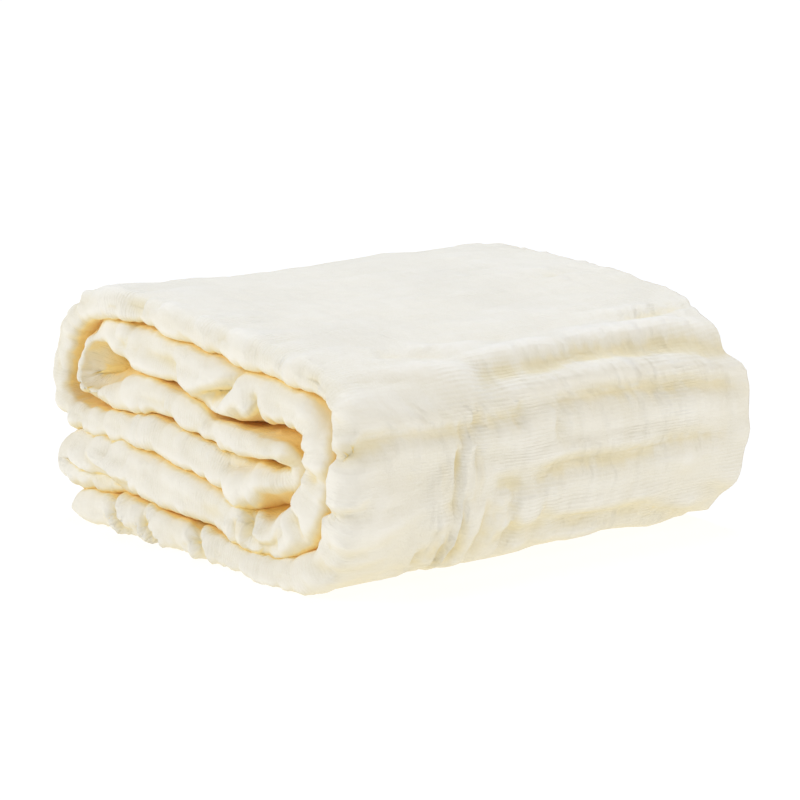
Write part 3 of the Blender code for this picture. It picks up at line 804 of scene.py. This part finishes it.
def settle(points):
    """Points raised or lowered where the bundle swells or has sunk."""
    x, y, z = np.moveaxis(points, -1, 0)
    share = np.ones(x.shape)
    for swell in SWELLS:
        away = ((x - swell.x) / swell.spread_x) ** 2 + ((y - swell.y) / swell.spread_y) ** 2
        share += swell.share * np.exp(-away)
    return np.stack([x, y, z * share], axis=-1)


def surface_normals(points):
    """Unit normals of a grid of points, from the ways to the neighbours."""
    normal = np.cross(np.gradient(points, axis=0), np.gradient(points, axis=1))
    return normal / np.linalg.norm(normal, axis=-1, keepdims=True)


def placed(strip, offset, y):
    """Points of the route's own frame, for offsets to the right and y at each row."""
    x = strip.x[:, None] + np.sin(strip.heading)[:, None] * offset
    z = strip.z[:, None] - np.cos(strip.heading)[:, None] * offset
    return settle(np.stack([x, y, z], axis=-1))


def hem_share(strip, travelled):
    """1 over the hems along the cloth's four edges, 0 elsewhere."""
    across = np.minimum(travelled, travelled[:, [-1]] - travelled)
    inset = np.minimum(across, end_distance(strip)[:, None])
    return smooth_step(inset - HEM_WIDTH, *HEM_SLOPE[::-1])


def grid_mesh(name, right_side, left_side):
    """A closed mesh of two grids of points, joined round their rims."""
    rows, columns = right_side.shape[:2]
    count = rows * columns
    index = np.arange(count).reshape(rows, columns)

    def quads(grid):
        """The faces between neighbouring points of a grid."""
        around = (grid[:-1, :-1], grid[1:, :-1], grid[1:, 1:], grid[:-1, 1:])
        return np.stack(around, axis=-1).reshape(-1, 4)

    rim = np.concatenate([index[0, :], index[1:, -1], index[-1, -2::-1], index[-2:0:-1, 0]])
    after = np.roll(rim, -1)
    rim_faces = np.stack([rim, after, after + count, rim + count], axis=-1)
    faces = np.concatenate([quads(index), quads(index + count)[:, ::-1], rim_faces])
    data = bpy.data.meshes.new(name)
    data.vertices.add(2 * count)
    places = np.concatenate([right_side, left_side]).astype(np.float32)
    data.vertices.foreach_set("co", places.ravel())
    data.loops.add(faces.size)
    data.loops.foreach_set("vertex_index", faces.astype(np.int32).ravel())
    data.polygons.add(len(faces))
    data.polygons.foreach_set("loop_start", np.arange(0, faces.size, 4, dtype=np.int32))
    data.update(calc_edges=True)
    data.validate()
    return data


def add_uv_map(data, name, per_vertex):
    """A UV map with a place for each vertex."""
    corners = np.zeros(len(data.loops), np.int32)
    data.loops.foreach_get("vertex_index", corners)
    uv_map = data.uv_layers.new(name=name)
    uv_map.data.foreach_set("uv", per_vertex[corners].astype(np.float32).ravel())


def add_attribute(data, name, per_vertex):
    """A number for each vertex, which the material reads by its name."""
    attribute = data.attributes.new(name, "FLOAT", "POINT")
    attribute.data.foreach_set("value", per_vertex.astype(np.float32).ravel())


def build_cloth(route):
    """The whole cloth as one mesh, with the maps and numbers that its material reads."""
    strip = strip_sizes(route, route.rows())
    offset, y, v, height = cloth_columns(strip)
    travelled = way_across(offset, y)

    middle = placed(strip, offset, y)
    thickness = CLOTH * (1.0 + (HEM_BULK - 1.0) * hem_share(strip, travelled))
    thickness = np.minimum(thickness, PLY_SHARE * strip.pitch[:, None])
    middle[..., 2] = np.maximum(middle[..., 2], thickness / 2.0)
    outward = surface_normals(middle)
    half = outward * thickness[..., None] / 2.0
    both = np.stack([middle + half, middle - half])
    both[..., 2] = np.where(both[..., 2] < REST_DEPTH, 0.0, both[..., 2])
    both = both * MM + route_to_frame(route)
    data = grid_mesh("blanket_cloth", *both)

    length_way = strip.s[:, None] + 0.0 * travelled
    cloth_way = np.stack([length_way, travelled], axis=-1).reshape(-1, 2) * MM
    add_uv_map(data, "cloth", np.concatenate([cloth_way, cloth_way]))
    share = np.stack([length_way / strip.s[-1], travelled / travelled[:, [-1]]], axis=-1)
    share = share.reshape(-1, 2) * (1.0, BAKE_SHARE)
    add_uv_map(data, "OFBake", np.concatenate([share, share + (0.0, BAKE_SHIFT)]))

    # The material's numbers, with painted shade: on the outer ply from how little light reaches
    # it, and on the inner plies, which show only at the open end, growing with their depth into
    # the bundle
    outer = v.shape[1]
    inset = np.minimum(strip.far[:, None] - y, end_distance(strip)[:, None])
    # Painted shade of the inner plies, which grows with their depth into the bundle
    inside = np.clip(END_SHADE + inset / SHADE_RUN, END_SHADE, 1.0)
    painted_shade = inside.copy()
    painted_shade[:, :outer] = 1.0 - openness(data, both[0, :, :outer], outward[:, :outer])
    painted_shade[:, :outer] *= 1.0 - TUCK_LIT * tucked_turn(length_way[:, :outer], v)
    add_attribute(data, "painted_shade", np.concatenate([painted_shade, inside]))
    crease_away, crease_strength, gathered = crease_marks(length_way[:, :outer], v)
    for name, values, elsewhere in (
        ("raised", height, 0.0),
        ("crease_away", crease_away, NO_CREASE),
        ("crease_strength", crease_strength, 0.0),
        ("gathered", gathered, 0.0),
    ):
        filled = np.full(offset.shape, elsewhere)
        filled[:, :outer] = values
        add_attribute(data, name, np.concatenate([filled, filled]))
    data.shade_smooth()
    return data


def openness(data, points, normals):
    """How much light reaches each point past the cloth, as a share of an open wall's.

    Light from above counts for more than light from below.
    """
    tree = BVHTree.FromPolygons([v.co for v in data.vertices], [f.vertices for f in data.polygons])
    steps = (np.arange(LIGHT_WAYS) + 0.5) / LIGHT_WAYS
    turns = np.arange(LIGHT_WAYS) * math.pi * (3.0 - math.sqrt(5.0))
    heights = 1.0 - 2.0 * steps
    radii = np.sqrt(1.0 - heights ** 2)
    ways = np.stack([radii * np.cos(turns), radii * np.sin(turns), heights], axis=1)
    vectors = [Vector(way) for way in ways]
    strength = 1.0 + LIGHT_FROM_ABOVE * np.clip(LIGHT_SLOPE * heights, -1.0, 1.0)
    found = np.zeros(points.shape[:2])
    for row in range(points.shape[0]):
        for column in range(points.shape[1]):
            facing = ways @ normals[row, column]
            start = Vector(points[row, column] + normals[row, column] * LIGHT_LIFT * MM)
            seen = 0.0
            for way in np.nonzero(facing > 0.0)[0]:
                if tree.ray_cast(start, vectors[way], LIGHT_REACH)[0] is None:
                    seen += facing[way] * strength[way]
            found[row, column] = seen / facing[facing > 0.0].sum()
    return np.minimum(found, 1.0)


def route_to_frame(route):
    """The move, in metres, from the route's own frame to the row frame."""
    low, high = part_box("blanket")
    strip = strip_sizes(route, np.linspace(0.0, route.length, BOX_STEPS))
    faces = np.stack([strip.right + CLOTH / 2.0, -strip.left - CLOTH / 2.0], axis=1)
    x = placed(strip, faces, 0.0 * faces)[..., 0]
    y_middle = ((strip.flat_right - strip.depth).min() + strip.far.max()) / 2.0
    x_middle = (x.min() + x.max()) / 2.0
    middle = (low + high) / 2.0
    return np.array([middle.x - x_middle * MM, middle.y - y_middle * MM, 0.0])


# --- Materials ---

class Nodes:
    """A short way to add shader nodes and link them."""

    def __init__(self, material):
        material.use_nodes = True
        self.tree = material.node_tree
        self.shader = self.tree.nodes["Principled BSDF"]

    def add(self, kind, links=None, **settings):
        node = self.tree.nodes.new(kind)
        for name, value in settings.items():
            setattr(node, name, value)
        for socket, value in (links or {}).items():
            self.set(node, socket, value)
        return node

    def set(self, node, socket, value):
        if isinstance(value, bpy.types.NodeSocket):
            self.tree.links.new(value, node.inputs[socket])
        else:
            node.inputs[socket].default_value = value

    def maths(self, operation, *values):
        node = self.add("ShaderNodeMath", operation=operation)
        for i, value in enumerate(values):
            self.set(node, i, value)
        return node.outputs[0]

    def mixed(self, factor, first, second):
        node = self.add("ShaderNodeMix", data_type="RGBA")
        self.set(node, 0, factor)
        self.set(node, 6, first)
        self.set(node, 7, second)
        return node.outputs[2]

    def noise(self, place, along, across, detail=2.0, roughness=0.5):
        """Noise with this many swells to a metre, along the strip and across it."""
        scales = (along, across, 1.0)
        way = self.add("ShaderNodeVectorMath", {0: place, 1: scales}, operation="MULTIPLY")
        node = self.add("ShaderNodeTexNoise", {"Vector": way.outputs[0], "Scale": 1.0})
        node.inputs["Detail"].default_value = detail
        node.inputs["Roughness"].default_value = roughness
        return node.outputs["Fac"]

    def attribute(self, name):
        return self.add("ShaderNodeAttribute", attribute_name=name).outputs["Fac"]

    def range(self, value, start, end, low=0.0, high=1.0):
        """low at start and high at end, with a smooth rise between them."""
        links = {"Value": value, "From Min": start, "From Max": end, "To Min": low, "To Max": high}
        return self.add("ShaderNodeMapRange", links, interpolation_type="SMOOTHSTEP").outputs[0]


CREAM = (0.925, 0.89, 0.785, 1.0)
# Lighter cream: a painted highlight on the puffs
PUFF_PAINTED_LIGHT_CREAM = (0.945, 0.915, 0.825, 1.0)
RIB_CREAM = (0.72, 0.66, 0.48, 1.0)
# Painted shade, in dips and where little light reaches
SHADED_CREAM = (0.865, 0.775, 0.53, 1.0)
# Warm painted shade, deep in the gaps between plies and in the grooves
GAP_SHADE_CREAM = (0.95, 0.77, 0.35, 1.0)
GAUZE_FINISH = {
    "Roughness": 0.95,
    "Specular IOR Level": 0.2,
    "Sheen Weight": 0.15,
    "Sheen Roughness": 0.6,
}
RIB_PITCH = 1.15  # millimetres between the ribs of the weave
RIB_WANDER = 0.8  # how far they wander, in millimetres
RIB_LEAST = 0.12  # how strong they are where they are faint
RIB_PATCH_START = 0.40  # the noise from which they are stronger
RIB_PATCH_RISE = 4.0  # how soon
PLAIN_GATHERS = 0.28  # how gathered the cloth is everywhere
GROOVE_WIDTH = 2.2  # millimetres from the middle of a crease to the end of its groove
GROOVE_WAVER = 6.0  # how far it wavers, in millimetres
GROOVE_FAINT = (0.36, 0.60, 0.25, 1.0)  # the noise between which it goes from faint to full

# How much each field raises the cloth, as a share of the bump's distance
BUMP_DISTANCE = 0.0006  # in metres
BUMP_STRENGTH = 0.8
RIB_HEIGHT = 0.14
CRINKLE_HEIGHT = 1.3
WAFFLE_HEIGHT = 1.5
THREAD_HEIGHT = 0.20
PUFF_HEIGHT = 4.6
PUCKER_HEIGHT = 2.6
GROOVE_HEIGHT = -1.2

# Where a tone sets in: the two values between which it rises, and its share at each. Past the
# ribs' and threads' tones, all paint light and shade into the colour
RIB_TONE = (1.0, -1.0, 0.0, 0.16)
THREAD_TONE = (0.55, 0.35, 0.0, 0.12)
PUCKER_SHADE_TONE = (0.62, 0.38)
PUFF_LIGHT_TONE = (-0.6, 1.8)
UNLIT_TONE = (0.07, 0.48)
SUNK_SHADE_TONE = (-0.4, -3.2, 0.0, 0.8)
GAP_SHADE_TONE = (0.42, 0.74)
GROOVE_SHADE_SHARE = 0.42  # the warm painted shade's share in a groove
PUCKER_SHADE_SINK = 0.9  # how far the painted shade of the gathers' valleys counts as sunk


def gauze_material():
    """Cream cotton gauze: fine ribs along the width, small crinkles, a painted highlight on puffs
    and painted shade that turns warm and deep in gaps and grooves.
    """
    material = bpy.data.materials.new("cream_gauze")
    n = Nodes(material)
    cloth_way = n.add("ShaderNodeUVMap", uv_map="cloth").outputs[0]
    # Painted shade, where little light reaches the cloth
    painted_shade = n.attribute("painted_shade")

    # The ribs: thin lines along the width, strong in some patches and faint in others
    place = n.add("ShaderNodeSeparateXYZ", {0: cloth_way}).outputs
    wander = n.maths("MULTIPLY", n.noise(cloth_way, 90.0, 40.0), RIB_WANDER * MM)
    shifted = n.maths("ADD", place[0], wander)
    ribs = n.maths("SINE", n.maths("MULTIPLY", shifted, 2.0 * math.pi / (RIB_PITCH * MM)))
    patches = n.maths("SUBTRACT", n.noise(cloth_way, 34.0, 22.0), RIB_PATCH_START)
    patches = n.maths("MULTIPLY", patches, RIB_PATCH_RISE)
    rib_weight = n.maths("MINIMUM", n.maths("MAXIMUM", patches, RIB_LEAST), 1.0)
    ribs = n.maths("MULTIPLY", ribs, rib_weight)

    # Small puffs between the ribs' bands, which gather along the creases
    puffs = n.noise(cloth_way, 80.0, 115.0, 0.0)
    pucker = n.noise(cloth_way, 60.0, 200.0, 0.0)
    crinkle = n.noise(cloth_way, 300.0, 110.0, 3.0, 0.55)
    waffle = n.noise(cloth_way, 210.0, 310.0, 1.0)
    threads = n.noise(cloth_way, 1500.0, 1500.0, 2.0, 0.6)
    gathered = n.maths("ADD", n.attribute("gathered"), PLAIN_GATHERS)

    # A wavering groove along each crease, fainter in places
    waver = n.maths("MULTIPLY", n.maths("SUBTRACT", puffs, 0.5), GROOVE_WAVER)
    away = n.maths("ABSOLUTE", n.maths("ADD", n.attribute("crease_away"), waver))
    groove = n.maths("MULTIPLY", n.range(away, GROOVE_WIDTH, 0.0), n.attribute("crease_strength"))
    groove = n.maths("MULTIPLY", groove, n.range(pucker, *GROOVE_FAINT))

    height = n.maths("MULTIPLY", ribs, RIB_HEIGHT)
    for field, share in (
        (crinkle, CRINKLE_HEIGHT),
        (n.maths("MULTIPLY", waffle, gathered), WAFFLE_HEIGHT),
        (threads, THREAD_HEIGHT),
        (n.maths("MULTIPLY", puffs, gathered), PUFF_HEIGHT),
        (n.maths("MULTIPLY", pucker, gathered), PUCKER_HEIGHT),
        (groove, GROOVE_HEIGHT),
    ):
        height = n.maths("ADD", height, n.maths("MULTIPLY", field, share))
    bump = n.add("ShaderNodeBump", {
        "Strength": BUMP_STRENGTH,
        "Distance": BUMP_DISTANCE,
        "Height": height,
    })

    tone = n.mixed(n.range(ribs, *RIB_TONE), CREAM, RIB_CREAM)
    tone = n.mixed(n.range(threads, *THREAD_TONE), tone, RIB_CREAM)
    # Painted shade in the puckers' valleys, where the cloth is gathered
    pucker_valley_shade = n.maths("MULTIPLY", n.range(pucker, *PUCKER_SHADE_TONE), gathered)
    pucker_valley_shade = n.maths("MULTIPLY", pucker_valley_shade, PUCKER_SHADE_SINK)
    raised = n.maths("SUBTRACT", n.attribute("raised"), pucker_valley_shade)
    # A painted highlight on the puffs, where the cloth stands out
    tone = n.mixed(n.range(raised, *PUFF_LIGHT_TONE), tone, PUFF_PAINTED_LIGHT_CREAM)
    # Painted shade in the dips and where little light reaches the cloth
    sunk = n.maths("MAXIMUM", n.range(painted_shade, *UNLIT_TONE), n.range(raised, *SUNK_SHADE_TONE))
    tone = n.mixed(sunk, tone, SHADED_CREAM)
    # Warm painted shade deep in the gaps between plies and in the grooves
    groove_shade = n.maths("MULTIPLY", groove, GROOVE_SHADE_SHARE)
    deep = n.maths("MAXIMUM", n.range(painted_shade, *GAP_SHADE_TONE), groove_shade)
    n.set(n.shader, "Base Color", n.mixed(deep, tone, GAP_SHADE_CREAM))
    n.set(n.shader, "Normal", bump.outputs[0])
    for socket, value in GAUZE_FINISH.items():
        n.set(n.shader, socket, value)
    return material


STAGE_GREY = (0.25, 0.25, 0.25, 1.0)
STAGE_GLOW = (0.3, 1.2, 0.80, 0.90)  # two distances from the middle, and the glow there


def stage_material():
    """A bright white sweep that gives light of its own, more of it away from the middle."""
    material = bpy.data.materials.new("white_sweep")
    n = Nodes(material)
    n.set(n.shader, "Base Color", STAGE_GREY)
    n.set(n.shader, "Roughness", 0.9)
    n.set(n.shader, "Emission Color", (1.0, 1.0, 1.0, 1.0))
    place = n.add("ShaderNodeNewGeometry").outputs["Position"]
    away = n.add("ShaderNodeVectorMath", {0: place}, operation="LENGTH").outputs["Value"]
    n.set(n.shader, "Emission Strength", n.range(away, *STAGE_GLOW))
    return material


# --- Studio ---

FLOOR_RADIUS = 6.0
FLOOR_DROP = 0.0003  # how far the floor lies below the cloth, so that the two don't touch
WORLD_COLOUR = (1.0, 0.97, 0.90, 1.0)
WORLD_STRENGTH = 0.46
LIGHTS_AIM = (0.0, 0.0, 0.04)
BOUNCES = 16

Light = namedtuple("Light", "name place size watts colour")

LIGHTS = [
    Light("key", (-0.50, -1.50, 1.10), 0.8, 10.0, (1.0, 1.0, 1.0)),
    Light("overhead", (-0.30, 0.30, 1.60), 1.0, 11.0, (0.58, 0.70, 1.0)),
    Light("side", (0.85, 0.45, 0.95), 0.8, 3.6, (1.0, 0.94, 0.82)),
]


def build_floor():
    """The white floor, wide enough to fill the picture from any side."""
    bpy.ops.mesh.primitive_circle_add(
        vertices=96, radius=FLOOR_RADIUS, fill_type="NGON", location=(0.0, 0.0, -FLOOR_DROP)
    )
    floor = bpy.context.object
    floor.name = "floor"
    floor.data.materials.append(stage_material())


def build_lights():
    """The soft world light, three round area lights and the plain view of their colours."""
    scene = bpy.context.scene
    world = bpy.data.worlds.new("studio")
    scene.world = world
    world.use_nodes = True
    background = world.node_tree.nodes["Background"]
    background.inputs["Color"].default_value = WORLD_COLOUR
    background.inputs["Strength"].default_value = WORLD_STRENGTH
    for row in LIGHTS:
        light = bpy.data.lights.new(row.name, "AREA")
        light.shape = "DISK"
        light.size = row.size
        light.energy = row.watts
        light.color = row.colour
        holder = bpy.data.objects.new(row.name, light)
        holder.location = row.place
        way = Vector(LIGHTS_AIM) - Vector(row.place)
        holder.rotation_euler = way.to_track_quat("-Z", "Y").to_euler()
        scene.collection.objects.link(holder)
    scene.view_settings.view_transform = "Standard"
    scene.cycles.max_bounces = BOUNCES
    scene.cycles.diffuse_bounces = BOUNCES


def build_camera():
    """The camera of the photograph's view."""
    camera = bpy.data.cameras.new("camera")
    camera.lens = CAMERA_LENS
    camera.sensor_width = CAMERA_SENSOR
    sin_a, cos_a = math.sin(CAMERA_AZIMUTH), math.cos(CAMERA_AZIMUTH)
    sin_e, cos_e = math.sin(CAMERA_DOWN), math.cos(CAMERA_DOWN)
    forward = Vector((-sin_a * cos_e, cos_a * cos_e, -sin_e))
    right = Vector((cos_a, sin_a, 0.0))
    up = right.cross(forward)
    turn = Matrix((right, up, -forward)).transposed().to_4x4()
    holder = bpy.data.objects.new("camera", camera)
    holder.matrix_world = Matrix.Translation(CAMERA_PLACE) @ turn
    bpy.context.scene.collection.objects.link(holder)
    bpy.context.scene.camera = holder


# --- The scene ---

build_camera()
build_floor()
build_lights()

route = Route(ROUTE)
cloth = bpy.data.objects.new("blanket_cloth", build_cloth(route))
cloth.data.materials.append(gauze_material())
bpy.context.scene.collection.objects.link(cloth)
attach(cloth, "root")
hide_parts("blanket")
